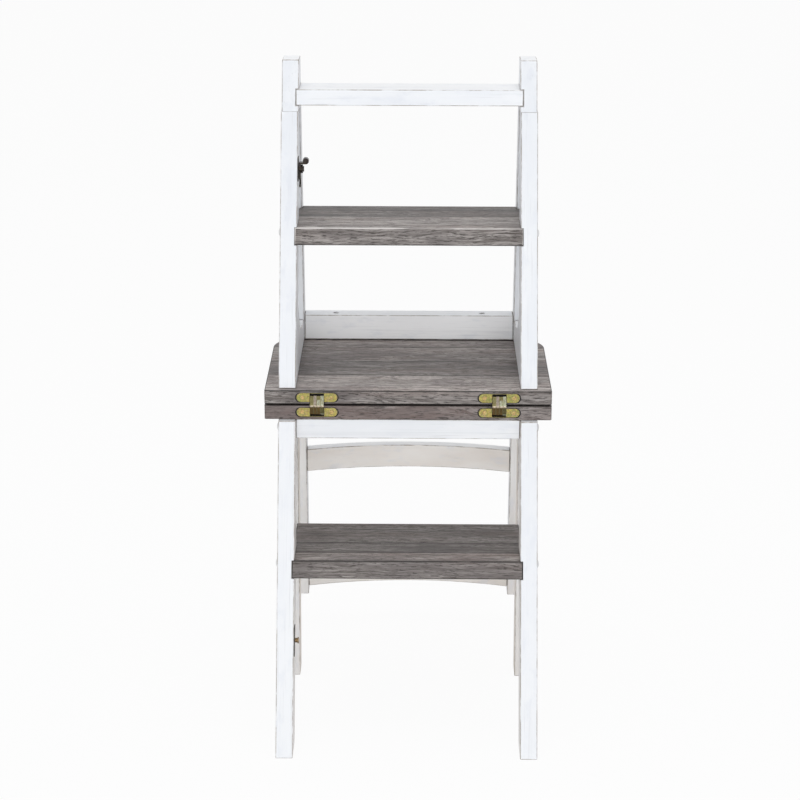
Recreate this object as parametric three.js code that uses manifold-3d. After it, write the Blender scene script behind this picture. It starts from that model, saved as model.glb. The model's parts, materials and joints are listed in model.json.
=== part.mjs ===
// Library step chair: two hinged wooden units that stand as a step ladder and turn over into a chair.
// Millimetres, +X to the right, +Y away from the climber, +Z up, origin on the floor under the middle.

import * as THREE from "three";
import { mergeVertices } from "three/addons/utils/BufferGeometryUtils.js";
import Module from "manifold-3d";

// Clearances
const fit = 0.3; // between pieces that touch
const overrun = 1; // how far a cut runs past the piece that it cuts
const seamClearance = 0.4; // from each unit's rails to the slanted plane where they meet in the chair
const foldClearance = 1.1; // from each board's face to the hinge line

// Seat boards
const seatHeight = 450; // hinge line above the floor
const seatReach = 252; // near faces of the rear posts on the upper board, behind the hinge line
const boardOverhang = 19.5; // past the rails at each side
const boardThickness = 19.6;
const boardSetback = 0.4; // near edges behind the hinge line
const lowerBoardReach = 168; // far edge behind the hinge line
const upperBoardPast = 13; // far corners past the near faces of the posts
const boardCornerRadius = 48;
const boardEaseRadius = 3; // near corners in plan

// Slanted rails
const frameWidth = 357; // over the rails
const railShy = 76; // reach of the lower rails' feet, less than that of the posts
const railWidth = 23.5;
const railDepth = 52; // along Y

// Rear legs with the back posts
const postInset = 1; // outer faces inside the rails' outer faces
const postWidth = 23.5;
const postDepth = 38;
const footLift = 2; // feet of the closed upper unit above the floor
const headLength = 68; // stretch of the feet past the upper rails
const postLeanIn = 66; // near faces at the top of the rails, before those on the board
const postRunOut = 48; // near faces at the free end of the back, behind those on the board
const postEndHeight = 46;
const postBendLength = 80;

// Front legs
const legShy = 13; // far faces before the far edge of the lower board
const legDepth = 45;
const legWidth = 20.5;
const legSweepIn = 12; // near edge of the foot before the near face under the seat
const legFootDepth = 38;
const legBlockLength = 80; // straight stretch under the seat
const legSweepHeight = 175;

// Aprons and cross rail
const apronThickness = 20;
const apronTallEnd = 98;
const apronLowEnd = 32;
const apronSweepReach = 30; // where the sweep of a side apron turns, behind its tall end
const rearApronShy = 3; // behind the near faces of the posts
const rearApronThickness = 27;
const rearApronHeight = 37;
const frontApronInset = 22; // behind the near faces of the legs
const frontApronHeight = 57;
const crossRailDepth = 20;
const crossRailHeight = 28;
const crossRailSetback = 2; // behind the hinge line

// Steps and top rail
const stepThickness = 23;
const stepHousing = 3.5; // depth of the housings in the rails
const lowerStepShare = 0.557; // its top, of the height of the hinge line
const lowerStepDepth = 146;
const upperStepShare = 0.5795; // its top, of the way from the upper board to the top of the rails
const upperStepPast = 14; // far edge past the near faces of the posts
const topRailDrop = 39; // top below the end of the feet
const topRailThickness = 21;
const topRailPast = 28; // far edge past the near faces of the posts
const topRailHousing = 4; // depth of its housings in the posts

// Back slats
const slatThickness = 18;
const slatSag = 24; // how far the middle of a slat lies behind its ends
const slatInset = 5; // ends behind the near faces of the posts
const lowerSlatShare = 0.604; // its top, of the way from the free ends of the posts to the hinge line
const lowerSlatHeight = 36;
const crestSlatRise = 76; // its top above the free ends of the posts
const crestSlatHeight = 64;

// Concealed hinges
const hingeInset = 28.5; // centres inside the rear posts
const leafLength = 56;
const leafHeight = 12.5;
const leafThickness = 2;
const leafRecessMargin = 0.7; // recess past the leaf, all round
const leafRecessRun = 1.4; // and further at its ends
const leafMargin = 4.3; // leaf edge from the hinge line
const linkWidth = 19;
const linkPocketWidth = 19.8;
const linkPocketDepth = 14.4;
const linkPocketHeight = 16.4; // from the hinge line
const linkHalfHeight = 13.8;
const linkEndNear = 0.2; // ends of the arch, inner and outer face, before the hinge line
const linkEndFar = 1.6;
const linkCrownNear = 4; // crown of the arch, inner and outer face
const linkCrownFar = 6.2;
const linkRidge = 1.2; // half the height of the flat crown
const linkPlates = 4;
const linkGroove = 0.5;

// Screws
const leafScrewOffset = 20; // from the hinge centre
const screwHeadRadius = 3;
const screwShankRadius = 1.6;
const screwLength = 13;
const apronScrewInset = 46; // inside the rear posts
const apronScrewRadius = 2.2;
const apronScrewHeadRadius = 4.2;
const apronScrewHeadHeight = 3;
const apronScrewSink = 2; // head below the apron's edge
const apronScrewBite = 12; // length in the board

// Bolts with round caps
const capRadius = 6;
const capHeight = 3;
const boltRadius = 3;
const boltLength = 45;

// Latch
const latchShare = 0.4967; // pivot, of the way from the upper step to the top of the rails
const pivotReach = 8; // pivot behind the slanted plane
const studReach = 10; // stud behind the slanted plane, on the lower unit
const plateThickness = 1.2;
const plateWidth = 14;
const plateStart = 2; // near edge of the plates behind the slanted plane
const hookPlateLength = 31;
const strikePlateLength = 36;
const hookScrewOffset = 11;
const strikeScrewOffset = 13;
const plateScrewHeadRadius = 2.2;
const plateScrewShankRadius = 1.3;
const plateScrewLength = 10;
const studRadius = 3.25;
const studProud = 5.2; // neck of the stud, from the rail's face
const studHeadRadius = 4.5;
const studHeadHeight = 1.5;
const studRootRadius = 2;
const studRootLength = 10;
const leverThickness = 2.5;
const leverLift = 0.4; // lever above the plates
const leverSlack = 0.5; // hook around the stud
const hookArm = 4; // near side of the arm from the pivot
const hookBack = 8; // far side of the arm from the pivot
const hookTip = 3.5; // metal past the stud
const hubRadius = 6;
const hubHeight = 5.5;
const pivotRadius = 2.5;
const pivotHeadRadius = 4;
const pivotHeadHeight = 1.2;
const curlRadius = 4.4;
const curlProud = 11.5; // middle of the finger curl from the rail's face
const curlHeight = 11.5; // middle of the finger curl above the pivot
const curlWidth = 9;
const neckThickness = 2.4;

// Facets
const curveSteps = 8;
const roundFacets = 12;

// Places worked out from the sizes
const half = frameWidth / 2;
const railInner = half - railWidth;
const legInner = half - legWidth;
const postOuter = half - postInset;
const postInner = postOuter - postWidth;
const lowerBoardTop = seatHeight - foldClearance;
const lowerBoardBase = lowerBoardTop - boardThickness;
const upperBoardBase = seatHeight + foldClearance;
const upperBoardTop = upperBoardBase + boardThickness;
const boardWidth = frameWidth + 2 * boardOverhang;
const upperBoardFar = seatReach + upperBoardPast;
const footHeight = 2 * seatHeight - footLift;
const upperRailTop = footHeight - headLength;
const postTopReach = seatReach - postLeanIn;
const postEndReach = seatReach + postRunOut;
const legReach = lowerBoardReach - legShy - legDepth;
const legFootReach = legReach - legSweepIn;
const rearApronReach = seatReach + rearApronShy;
const rearApronFar = rearApronReach + rearApronThickness;
const frontApronReach = legReach + frontApronInset;
const railReach = seatReach - railShy;
const lowerStepTop = seatHeight * lowerStepShare;
const upperStepTop = upperBoardTop + (upperRailTop - upperBoardTop) * upperStepShare;
const lowerSlatTop = postEndHeight + (seatHeight - postEndHeight) * lowerSlatShare;
const crestSlatTop = postEndHeight + crestSlatRise;
const topRailTop = footHeight - topRailDrop;
const topRailFar = postTopReach + topRailPast;
const hingeOffset = postInner - hingeInset;
const apronScrewOffset = postInner - apronScrewInset;
const latchHeight = upperStepTop + (upperRailTop - upperStepTop) * latchShare;
const strikeHeight = 2 * seatHeight - latchHeight;
const underSeat = lowerBoardBase - fit;
const overSeat = upperBoardTop + fit;

// Materials
const paint = new THREE.MeshStandardMaterial({ color: 0xf1f2f2, roughness: 0.55, metalness: 0 });
const washedWood = new THREE.MeshStandardMaterial({ color: 0x8a8078, roughness: 0.6, metalness: 0 });
const whiteMetal = new THREE.MeshStandardMaterial({ color: 0xf3f4f5, roughness: 0.4, metalness: 0 });
const brass = new THREE.MeshStandardMaterial({ color: 0xb59a4c, roughness: 0.35, metalness: 1 });
const bronze = new THREE.MeshStandardMaterial({ color: 0x2e2a28, roughness: 0.5, metalness: 0.9 });

// Booleans on closed geometries
const wasm = await Module();
wasm.setup();

function solid(geometry) {
  geometry.deleteAttribute("normal");
  geometry.deleteAttribute("uv");
  const merged = mergeVertices(geometry);
  const corners = [];
  for (let i = 0; i < merged.index.count; i += 3) {
    const [a, b, c] = [0, 1, 2].map((k) => merged.index.getX(i + k));
    if (a !== b && b !== c && c !== a) corners.push(a, b, c);
  }
  const vertProperties = new Float32Array(merged.attributes.position.array);
  return new wasm.Manifold(new wasm.Mesh({ numProp: 3, vertProperties, triVerts: new Uint32Array(corners) }));
}

function geometryOf(body) {
  const { vertProperties, triVerts } = body.getMesh();
  const geometry = new THREE.BufferGeometry();
  geometry.setAttribute("position", new THREE.BufferAttribute(vertProperties, 3));
  geometry.setIndex(new THREE.BufferAttribute(triVerts, 1));
  geometry.computeVertexNormals();
  return geometry;
}

// Outlines pulled along one axis
const alongX = new THREE.Matrix4().makeBasis(
  new THREE.Vector3(0, 1, 0), new THREE.Vector3(0, 0, 1), new THREE.Vector3(1, 0, 0));
const alongY = new THREE.Matrix4().makeBasis(
  new THREE.Vector3(1, 0, 0), new THREE.Vector3(0, 0, 1), new THREE.Vector3(0, -1, 0));

function pulled(shape, depth) {
  return new THREE.ExtrudeGeometry(shape, { depth, bevelEnabled: false, curveSegments: curveSteps });
}

function outline(points) {
  return new THREE.Shape(points.map(([u, v]) => new THREE.Vector2(u, v)));
}

// A side outline in Y and Z between two places on X
function across(shape, xA, xB) {
  const geometry = pulled(shape, Math.abs(xB - xA)).applyMatrix4(alongX);
  return solid(geometry.translate(Math.min(xA, xB), 0, 0));
}

// A plan outline in X and Y between two heights
function upward(shape, zLow, zHigh) {
  return solid(pulled(shape, zHigh - zLow).translate(0, 0, zLow));
}

// A front outline in X and Z between two places on Y
function inward(shape, yNear, yFar) {
  return solid(pulled(shape, yFar - yNear).applyMatrix4(alongY).translate(0, yFar, 0));
}

function block(xA, xB, yNear, yFar, zLow, zHigh) {
  return across(outline([[yNear, zLow], [yFar, zLow], [yFar, zHigh], [yNear, zHigh]]), xA, xB);
}

// A profile of radius and height turned round an axis through a place
function turned(profile, place, direction) {
  const points = profile.map(([radius, height]) => new THREE.Vector2(radius, height));
  const geometry = new THREE.LatheGeometry(points, roundFacets);
  const turn = new THREE.Quaternion().setFromUnitVectors(new THREE.Vector3(0, 1, 0), direction);
  return solid(geometry.applyQuaternion(turn).translate(...place));
}

function rod(radius, low, high, place, direction) {
  return turned([[0, low], [radius, low], [radius, high], [0, high]], place, direction);
}

// The slanted plane where the rails of both units meet in the chair
function seam(height) {
  return (railReach * (height - seatHeight)) / seatHeight;
}

function railNear(height) {
  return seam(height) + seamClearance;
}

function railFar(height) {
  return railNear(height) + railDepth;
}

// Near face of a rear post between the upper board and the top of the rails
const postLean = (seatReach - postTopReach) / (upperRailTop - upperBoardTop);

function postNear(height) {
  return postTopReach + (upperRailTop - height) * postLean;
}

// The model
const pieces = [];

function piece(name, body, material) {
  const mesh = new THREE.Mesh(geometryOf(body), material);
  mesh.name = name;
  pieces.push(mesh);
}

const toRight = new THREE.Vector3(1, 0, 0);
const toFar = new THREE.Vector3(0, 1, 0);
const toTop = new THREE.Vector3(0, 0, 1);
const sides = [
  { name: "left", way: -1, inwards: toRight, outwards: toRight.clone().negate() },
  { name: "right", way: 1, inwards: toRight.clone().negate(), outwards: toRight },
];

// Steps, whose near faces follow the slanted plane
function stepSide(top, thickness, far, margin) {
  const low = top - thickness - margin;
  const high = top + margin;
  return outline([[railNear(low), low], [far + margin, low], [far + margin, high], [railNear(high), high]]);
}

function housingCut(top, thickness, far, inner, housing, way) {
  const low = top - thickness - fit;
  const high = top + fit;
  const near = railNear(low) - overrun;
  return block(way * (inner - overrun), way * (inner + housing + fit), near, far + fit, low, high);
}

const stepHalf = railInner + stepHousing;
const lowerStepFar = railNear(lowerStepTop) + lowerStepDepth;
const upperStepFar = postNear(upperStepTop) + upperStepPast;
const lowerStepMiddle = lowerStepTop - stepThickness / 2;
const upperStepMiddle = upperStepTop - stepThickness / 2;

// Bolts through the rails, each with a round cap outside
const boltPlaces = {
  lower_step_bolt: [railNear(lowerStepMiddle) + railDepth / 2, lowerStepMiddle],
  cross_rail_bolt: [crossRailSetback + crossRailDepth / 2, underSeat - crossRailHeight / 2],
  upper_step_bolt: [railNear(upperStepMiddle) + railDepth / 2, upperStepMiddle],
};

function boltHole(name, side) {
  const [reach, height] = boltPlaces[name];
  const place = [side.way * half, reach, height];
  return rod(boltRadius + fit, -overrun, boltLength + fit, place, side.inwards);
}

function boltHoles(name, body) {
  return sides.reduce((rest, side) => rest.subtract(boltHole(name, side)), body);
}

function makeBolts(name) {
  for (const side of sides) {
    const [reach, height] = boltPlaces[name];
    const profile = [
      [0, -boltLength], [boltRadius, -boltLength], [boltRadius, fit], [capRadius, fit],
      [capRadius, capHeight / 2], [capRadius * Math.SQRT1_2, capHeight], [0, capHeight],
    ];
    piece(`${name}_${side.name}`, turned(profile, [side.way * half, reach, height], side.outwards), whiteMetal);
  }
}

// Hinge pockets and leaf recesses in the near edges of the boards; up is 1 on the upper board
function leafOutline(centre, up, margin, run) {
  const radius = leafHeight / 2 + margin;
  const straight = leafLength / 2 - leafHeight / 2 + run;
  const middle = seatHeight + up * (leafMargin + leafHeight / 2);
  const shape = new THREE.Shape();
  shape.absarc(centre + straight, middle, radius, -Math.PI / 2, Math.PI / 2);
  shape.absarc(centre - straight, middle, radius, Math.PI / 2, (3 * Math.PI) / 2);
  return shape;
}

function linkPocket(centre, up, yNear, yFar) {
  const heights = [seatHeight, seatHeight + up * linkPocketHeight].sort((a, b) => a - b);
  const [xLow, xHigh] = [centre - linkPocketWidth / 2, centre + linkPocketWidth / 2];
  return block(xLow, xHigh, yNear, yFar, ...heights);
}

function leafScrewPlaces(centre, up) {
  const middle = seatHeight + up * (leafMargin + leafHeight / 2);
  return [-1, 1].map((way) => [centre + way * leafScrewOffset, boardSetback, middle]);
}

function hingeCuts(board, up) {
  let body = board;
  for (const side of sides) {
    const centre = side.way * hingeOffset;
    const floor = boardSetback + leafThickness + fit;
    body = body.subtract(inward(leafOutline(centre, up, leafRecessMargin, leafRecessRun), boardSetback - overrun, floor));
    body = body.subtract(linkPocket(centre, up, boardSetback - overrun, linkPocketDepth));
    for (const place of leafScrewPlaces(centre, up)) {
      body = body.subtract(rod(screwShankRadius + fit, -overrun, screwLength + fit, place, toFar));
    }
  }
  return body;
}

function makeLeaves(unit, up) {
  for (const side of sides) {
    const centre = side.way * hingeOffset;
    let leaf = inward(leafOutline(centre, up, 0, 0), boardSetback, boardSetback + leafThickness);
    leaf = leaf.subtract(linkPocket(centre, up, boardSetback - overrun, linkPocketDepth));
    leafScrewPlaces(centre, up).forEach((place, k) => {
      const sink = rod(screwHeadRadius + fit, -overrun, leafThickness / 2 + fit, place, toFar);
      leaf = leaf.subtract(sink).subtract(rod(screwShankRadius + fit, -overrun, screwLength, place, toFar));
      const profile = [
        [0, 0], [screwHeadRadius, 0], [screwHeadRadius, leafThickness / 2],
        [screwShankRadius, leafThickness / 2], [screwShankRadius, screwLength], [0, screwLength],
      ];
      piece(`${unit}_leaf_screw_${side.name}_${k + 1}`, turned(profile, place, toFar), brass);
    });
    piece(`${unit}_hinge_leaf_${side.name}`, leaf, brass);
  }
}

// Two packs of link plates that arch over the hinge line before the board edges
function makeLinks() {
  for (const side of sides) {
    const centre = side.way * hingeOffset;
    const arch = [
      [-linkEndNear, -linkHalfHeight], [-linkCrownNear, 0], [-linkEndNear, linkHalfHeight],
      [-linkEndFar, linkHalfHeight], [-linkCrownFar, linkRidge],
      [-linkCrownFar, -linkRidge], [-linkEndFar, -linkHalfHeight],
    ].map(([reach, height]) => [reach, seatHeight + height]);
    let pack = across(outline(arch), centre - linkWidth / 2, centre + linkWidth / 2);
    const tip = linkHalfHeight + overrun;
    const outside = [
      [-linkEndFar + linkGroove, tip], [-linkCrownFar + linkGroove, linkRidge],
      [-linkCrownFar + linkGroove, -linkRidge], [-linkEndFar + linkGroove, -tip],
      [-linkCrownFar - overrun, -tip], [-linkCrownFar - overrun, tip],
    ].map(([reach, height]) => [reach, seatHeight + height]);
    for (let k = 1; k < linkPlates; k += 1) {
      const x = centre - linkWidth / 2 + (k * linkWidth) / linkPlates;
      pack = pack.subtract(across(outline(outside), x - linkGroove / 2, x + linkGroove / 2));
    }
    piece(`hinge_links_${side.name}`, pack, brass);
  }
}

// Screws through the edge of an apron into its seat board
function apronScrew(name, side, reach, edge, seatFace, direction) {
  const way = direction.z;
  const start = edge + way * apronScrewSink;
  const length = Math.abs(seatFace - start) + apronScrewBite;
  const place = [side.way * apronScrewOffset, reach, start];
  const profile = [
    [0, 0], [apronScrewHeadRadius, 0], [apronScrewHeadRadius, apronScrewHeadHeight],
    [apronScrewRadius, apronScrewHeadHeight], [apronScrewRadius, length], [0, length],
  ];
  piece(`${name}_${side.name}`, turned(profile, place, direction), bronze);
}

function apronScrewCuts(body, reach, edge, seatFace, direction) {
  const start = edge + direction.z * apronScrewSink;
  const length = Math.abs(seatFace - start) + apronScrewBite;
  const low = -apronScrewSink - overrun;
  return sides.reduce((rest, side) => {
    const place = [side.way * apronScrewOffset, reach, start];
    const head = rod(apronScrewHeadRadius + fit, low, apronScrewHeadHeight + fit, place, direction);
    return rest.subtract(head).subtract(rod(apronScrewRadius + fit, low, length + fit, place, direction));
  }, body);
}

const rearApronTop = overSeat + rearApronHeight;
const rearScrewReach = rearApronReach + rearApronThickness / 2;
const frontApronBase = underSeat - frontApronHeight;
const frontScrewReach = frontApronReach + apronThickness / 2;
const toBase = toTop.clone().negate();

// Lower unit

function makeLowerBoard() {
  const edge = boardWidth / 2;
  const near = boardSetback;
  const far = lowerBoardReach;
  const shape = new THREE.Shape();
  const [ease, round] = [boardEaseRadius, boardCornerRadius];
  shape.absarc(edge - ease, near + ease, ease, -Math.PI / 2, 0);
  shape.absarc(edge - round, far - round, round, 0, Math.PI / 2);
  shape.absarc(round - edge, far - round, round, Math.PI / 2, Math.PI);
  shape.absarc(ease - edge, near + ease, ease, Math.PI, (3 * Math.PI) / 2);
  let board = hingeCuts(upward(shape, lowerBoardBase, lowerBoardTop), -1);
  board = apronScrewCuts(board, frontScrewReach, frontApronBase, lowerBoardBase, toTop);
  piece("lower_seat_board", board, washedWood);
}

function makeLowerRails() {
  const side = outline([
    [railNear(0), 0], [railFar(0), 0], [railFar(underSeat), underSeat], [railNear(underSeat), underSeat],
  ]);
  for (const { name, way } of sides) {
    let rail = across(side, way * railInner, way * half);
    rail = rail.subtract(housingCut(lowerStepTop, stepThickness, lowerStepFar, railInner, stepHousing, way));
    rail = boltHoles("cross_rail_bolt", boltHoles("lower_step_bolt", rail));
    if (name === "left") rail = plateHoles(rail, strikeHeight, studReach, strikeScrewOffset, studRootRadius);
    piece(`lower_rail_${name}`, rail, paint);
  }
}

// Sabre legs with a straight block under the seat
function makeFrontLegs() {
  const blockBase = underSeat - legBlockLength;
  const far = legReach + legDepth;
  const shape = new THREE.Shape();
  shape.moveTo(legFootReach, 0);
  shape.lineTo(legFootReach + legFootDepth, 0);
  shape.quadraticCurveTo(far, legSweepHeight, far, blockBase);
  shape.lineTo(far, underSeat);
  shape.lineTo(legReach, underSeat);
  shape.lineTo(legReach, blockBase);
  shape.quadraticCurveTo(legReach, legSweepHeight, legFootReach, 0);
  for (const { name, way } of sides) {
    piece(`front_leg_${name}`, across(shape, way * legInner, way * half), paint);
  }
}

// Side aprons sweep from the tall end at the rail to the low end at the leg
function sideApron(farReach, seatFace, up) {
  const tall = seatFace + up * apronTallEnd;
  const low = seatFace + up * apronLowEnd;
  const shape = new THREE.Shape();
  shape.moveTo(railFar(seatFace) + fit, seatFace);
  shape.lineTo(farReach(seatFace) - fit, seatFace);
  shape.lineTo(farReach(low) - fit, low);
  shape.quadraticCurveTo(railFar(tall) + apronSweepReach, low, railFar(tall) + fit, tall);
  return shape;
}

function makeSideAprons(unit, shape) {
  for (const { name, way } of sides) {
    const apron = across(shape, way * railInner, way * (railInner + apronThickness));
    piece(`${unit}_side_apron_${name}`, apron, paint);
  }
}

function makeCrossRail() {
  const ends = railInner - fit;
  const far = crossRailSetback + crossRailDepth;
  const rail = block(-ends, ends, crossRailSetback, far, underSeat - crossRailHeight, underSeat);
  piece("lower_cross_rail", boltHoles("cross_rail_bolt", rail), paint);
}

function makeFrontApron() {
  const ends = legInner - fit;
  const far = frontApronReach + apronThickness;
  const apron = block(-ends, ends, frontApronReach, far, frontApronBase, underSeat);
  piece("front_apron", apronScrewCuts(apron, frontScrewReach, frontApronBase, lowerBoardBase, toTop), paint);
}

function makeLowerStep() {
  const step = across(stepSide(lowerStepTop, stepThickness, lowerStepFar, 0), -stepHalf, stepHalf);
  piece("lower_step", boltHoles("lower_step_bolt", step), washedWood);
}

// Upper unit

function makeUpperBoard() {
  const edge = boardWidth / 2;
  const near = boardSetback;
  const far = upperBoardFar;
  const notch = seatReach - fit;
  const [notchIn, notchOut] = [postInner - fit, postOuter + fit];
  const [ease, round] = [boardEaseRadius, boardCornerRadius];
  const turn = Math.acos((notchOut - edge + round) / round);
  const shape = new THREE.Shape();
  shape.absarc(edge - ease, near + ease, ease, -Math.PI / 2, 0);
  shape.absarc(edge - round, far - round, round, 0, turn);
  shape.lineTo(notchOut, notch);
  shape.lineTo(notchIn, notch);
  shape.lineTo(notchIn, rearApronFar);
  shape.lineTo(-notchIn, rearApronFar);
  shape.lineTo(-notchIn, notch);
  shape.lineTo(-notchOut, notch);
  shape.absarc(round - edge, far - round, round, Math.PI - turn, Math.PI);
  shape.absarc(ease - edge, near + ease, ease, Math.PI, (3 * Math.PI) / 2);
  let board = hingeCuts(upward(shape, upperBoardBase, upperBoardTop), 1);
  board = apronScrewCuts(board, rearScrewReach, rearApronTop, upperBoardTop, toBase);
  piece("upper_seat_board", board, washedWood);
}

// The far side of an upper rail meets the near face of the post
function makeUpperRails() {
  const slope = railReach / seatHeight;
  const far = seamClearance + railDepth - slope * seatHeight;
  const meeting = (postTopReach + upperRailTop * postLean - fit - far) / (slope + postLean);
  const side = outline([
    [railNear(overSeat), overSeat], [railFar(overSeat), overSeat], [railFar(meeting), meeting],
    [postNear(upperRailTop) - fit, upperRailTop], [railNear(upperRailTop), upperRailTop],
  ]);
  for (const { name, way } of sides) {
    let rail = across(side, way * railInner, way * half);
    rail = rail.subtract(housingCut(upperStepTop, stepThickness, upperStepFar, railInner, stepHousing, way));
    rail = boltHoles("upper_step_bolt", rail);
    if (name === "left") rail = plateHoles(rail, latchHeight, pivotReach, hookScrewOffset, pivotRadius);
    piece(`upper_rail_${name}`, rail, paint);
  }
}

// Rear leg above the rails, straight down past the board, then raked away as the back post
function makeRearPosts() {
  const headBase = upperRailTop + fit;
  const bendEnd = upperBoardTop - postBendLength;
  const bendPlace = postNear(seatHeight);
  const rake = (postEndReach - bendPlace) / (seatHeight - postEndHeight);
  const raked = (height) => bendPlace + rake * (seatHeight - height);
  const shape = new THREE.Shape();
  shape.moveTo(railNear(footHeight), footHeight);
  shape.lineTo(railNear(headBase), headBase);
  shape.lineTo(postTopReach, headBase);
  shape.lineTo(seatReach, upperBoardTop);
  shape.quadraticCurveTo(bendPlace, seatHeight, raked(bendEnd), bendEnd);
  shape.lineTo(postEndReach, postEndHeight);
  shape.lineTo(postEndReach + postDepth, postEndHeight);
  shape.lineTo(raked(bendEnd) + postDepth, bendEnd);
  shape.quadraticCurveTo(bendPlace + postDepth, seatHeight, seatReach + postDepth, upperBoardTop);
  shape.lineTo(postTopReach + postDepth, headBase);
  shape.lineTo(railNear(footHeight) + postDepth, footHeight);
  for (const { name, way } of sides) {
    const post = across(shape, way * postInner, way * postOuter);
    const cut = housingCut(topRailTop, topRailThickness, topRailFar, postInner, topRailHousing, way);
    piece(`rear_post_${name}`, post.subtract(cut), paint);
  }
}

function makeRearApron() {
  const ends = postInner - fit;
  const apron = block(-ends, ends, rearApronReach, rearApronFar, overSeat, rearApronTop);
  piece("rear_apron", apronScrewCuts(apron, rearScrewReach, rearApronTop, upperBoardTop, toBase), paint);
}

// The upper step is notched round the posts
function makeUpperStep() {
  let step = across(stepSide(upperStepTop, stepThickness, upperStepFar, 0), -stepHalf, stepHalf);
  const near = postNear(upperStepTop) - fit;
  for (const { way } of sides) {
    const far = upperStepFar + overrun;
    const low = upperStepTop - stepThickness - overrun;
    const [inner, outer] = [way * (postInner - fit), way * (stepHalf + overrun)];
    const notch = block(inner, outer, near, far, low, upperStepTop + overrun);
    step = step.subtract(notch);
  }
  piece("upper_step", boltHoles("upper_step_bolt", step), washedWood);
}

function makeTopRail() {
  const ends = postInner + topRailHousing;
  piece("top_rail", across(stepSide(topRailTop, topRailThickness, topRailFar, 0), -ends, ends), paint);
}

// Slats curved in plan, sheared along the rake of the posts
function makeSlat(name, top, height) {
  const bendPlace = postNear(seatHeight);
  const rake = (postEndReach - bendPlace) / (seatHeight - postEndHeight);
  const reach = bendPlace + rake * (seatHeight - top) + slatInset;
  const ends = postInner - fit;
  const radius = (ends * ends + slatSag * slatSag) / (2 * slatSag);
  const turn = Math.asin(ends / radius);
  const centre = reach + slatSag - radius;
  const outer = radius + slatThickness;
  const outerTurn = Math.asin(ends / outer);
  const shape = new THREE.Shape();
  shape.absarc(0, centre, radius, Math.PI / 2 - turn, Math.PI / 2 + turn);
  shape.absarc(0, centre, outer, Math.PI / 2 + outerTurn, Math.PI / 2 - outerTurn, true);
  const geometry = pulled(shape, height);
  const shear = new THREE.Matrix4().makeShear(0, 0, 0, 0, 0, -rake);
  geometry.applyMatrix4(shear).translate(0, rake * height, top - height);
  piece(name, solid(geometry), paint);
}

// Latch hook on the upper unit, strike plate and stud on the lower unit, all on the left rails' inner faces

function plateHoles(rail, height, reach, screwOffset, rootRadius) {
  const face = [-railInner, seam(height) + reach, height];
  let body = rail.subtract(rod(rootRadius + fit, -studRootLength - fit, overrun, face, toRight));
  for (const place of plateScrewPlaces(height, reach, screwOffset)) {
    body = body.subtract(rod(plateScrewShankRadius + fit, -plateScrewLength - fit, overrun, place, toRight));
  }
  return body;
}

// Screws of a plate lie above and below its middle, along the rail
function plateScrewPlaces(height, reach, offset) {
  return [-1, 1].map((way) => [-railInner, seam(height + way * offset) + reach, height + way * offset]);
}

function makePlate(name, height, reach, length, screwOffset, rootRadius) {
  const [low, high] = [height - length / 2, height + length / 2];
  const side = outline([
    [seam(low) + plateStart, low], [seam(low) + plateStart + plateWidth, low],
    [seam(high) + plateStart + plateWidth, high], [seam(high) + plateStart, high],
  ]);
  const outerFace = fit + plateThickness;
  let plate = across(side, -railInner + fit, -railInner + outerFace);
  const face = [-railInner, seam(height) + reach, height];
  plate = plate.subtract(rod(rootRadius + fit, -overrun, outerFace + overrun, face, toRight));
  const headBase = outerFace - plateThickness / 2;
  plateScrewPlaces(height, reach, screwOffset).forEach((place, k) => {
    const shankHole = rod(plateScrewShankRadius + fit, -overrun, outerFace + overrun, place, toRight);
    const headHole = rod(plateScrewHeadRadius + fit, headBase - fit, outerFace + overrun, place, toRight);
    plate = plate.subtract(shankHole).subtract(headHole);
    const profile = [
      [0, -plateScrewLength], [plateScrewShankRadius, -plateScrewLength], [plateScrewShankRadius, headBase],
      [plateScrewHeadRadius, headBase], [plateScrewHeadRadius, outerFace], [0, outerFace],
    ];
    piece(`${name}_screw_${k + 1}`, turned(profile, place, toRight), bronze);
  });
  piece(`${name}_plate`, plate, bronze);
}

function makeStud() {
  const base = fit + plateThickness + fit;
  const profile = [
    [0, -studRootLength], [studRootRadius, -studRootLength], [studRootRadius, base], [studRadius, base],
    [studRadius, studProud], [studHeadRadius, studProud],
    [studHeadRadius, studProud + studHeadHeight], [0, studProud + studHeadHeight],
  ];
  const place = [-railInner, seam(strikeHeight) + studReach, strikeHeight];
  piece("strike_stud", turned(profile, place, toRight), bronze);
}

// The lever hangs down from its pivot with the mouth of the hook towards the climber
function makeLever() {
  const [reach, height] = [seam(latchHeight) + pivotReach, latchHeight];
  const face = -railInner + fit + plateThickness + leverLift;
  const place = [face, reach, height];
  const stud = height - pivotReach - studReach;
  const mouth = studRadius + leverSlack;
  const tip = stud - mouth - hookTip;
  const strap = outline([
    [reach - hookArm, height], [reach - hookArm, tip], [reach + hookBack, tip], [reach + hookBack, height],
  ]);
  const studCut = rod(mouth, -overrun, leverThickness + overrun, [face, reach, stud], toRight);
  const way = block(face - overrun, face + leverThickness + overrun, reach - hookArm - overrun, reach,
    stud - mouth, stud + mouth);
  const arm = across(strap, face, face + leverThickness).subtract(studCut).subtract(way);
  const hub = rod(hubRadius, 0, hubHeight, place, toRight);
  const [neckNear, neckFar] = [reach - curlWidth / 2, reach + curlWidth / 2];
  const neckTop = height + curlHeight - curlRadius + neckThickness;
  const curlMiddle = -railInner + curlProud;
  const neck = block(face, face + leverThickness, neckNear, neckFar, height, neckTop);
  const bend = block(face, curlMiddle, neckNear, neckFar, neckTop - neckThickness, neckTop);
  const curl = rod(curlRadius, 0, curlWidth, [curlMiddle, neckNear, height + curlHeight], toFar);
  const hole = rod(pivotRadius + fit, -overrun, hubHeight + overrun, place, toRight);
  piece("latch_lever", arm.add(hub).add(neck).add(bend).add(curl).subtract(hole), bronze);
}

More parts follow.
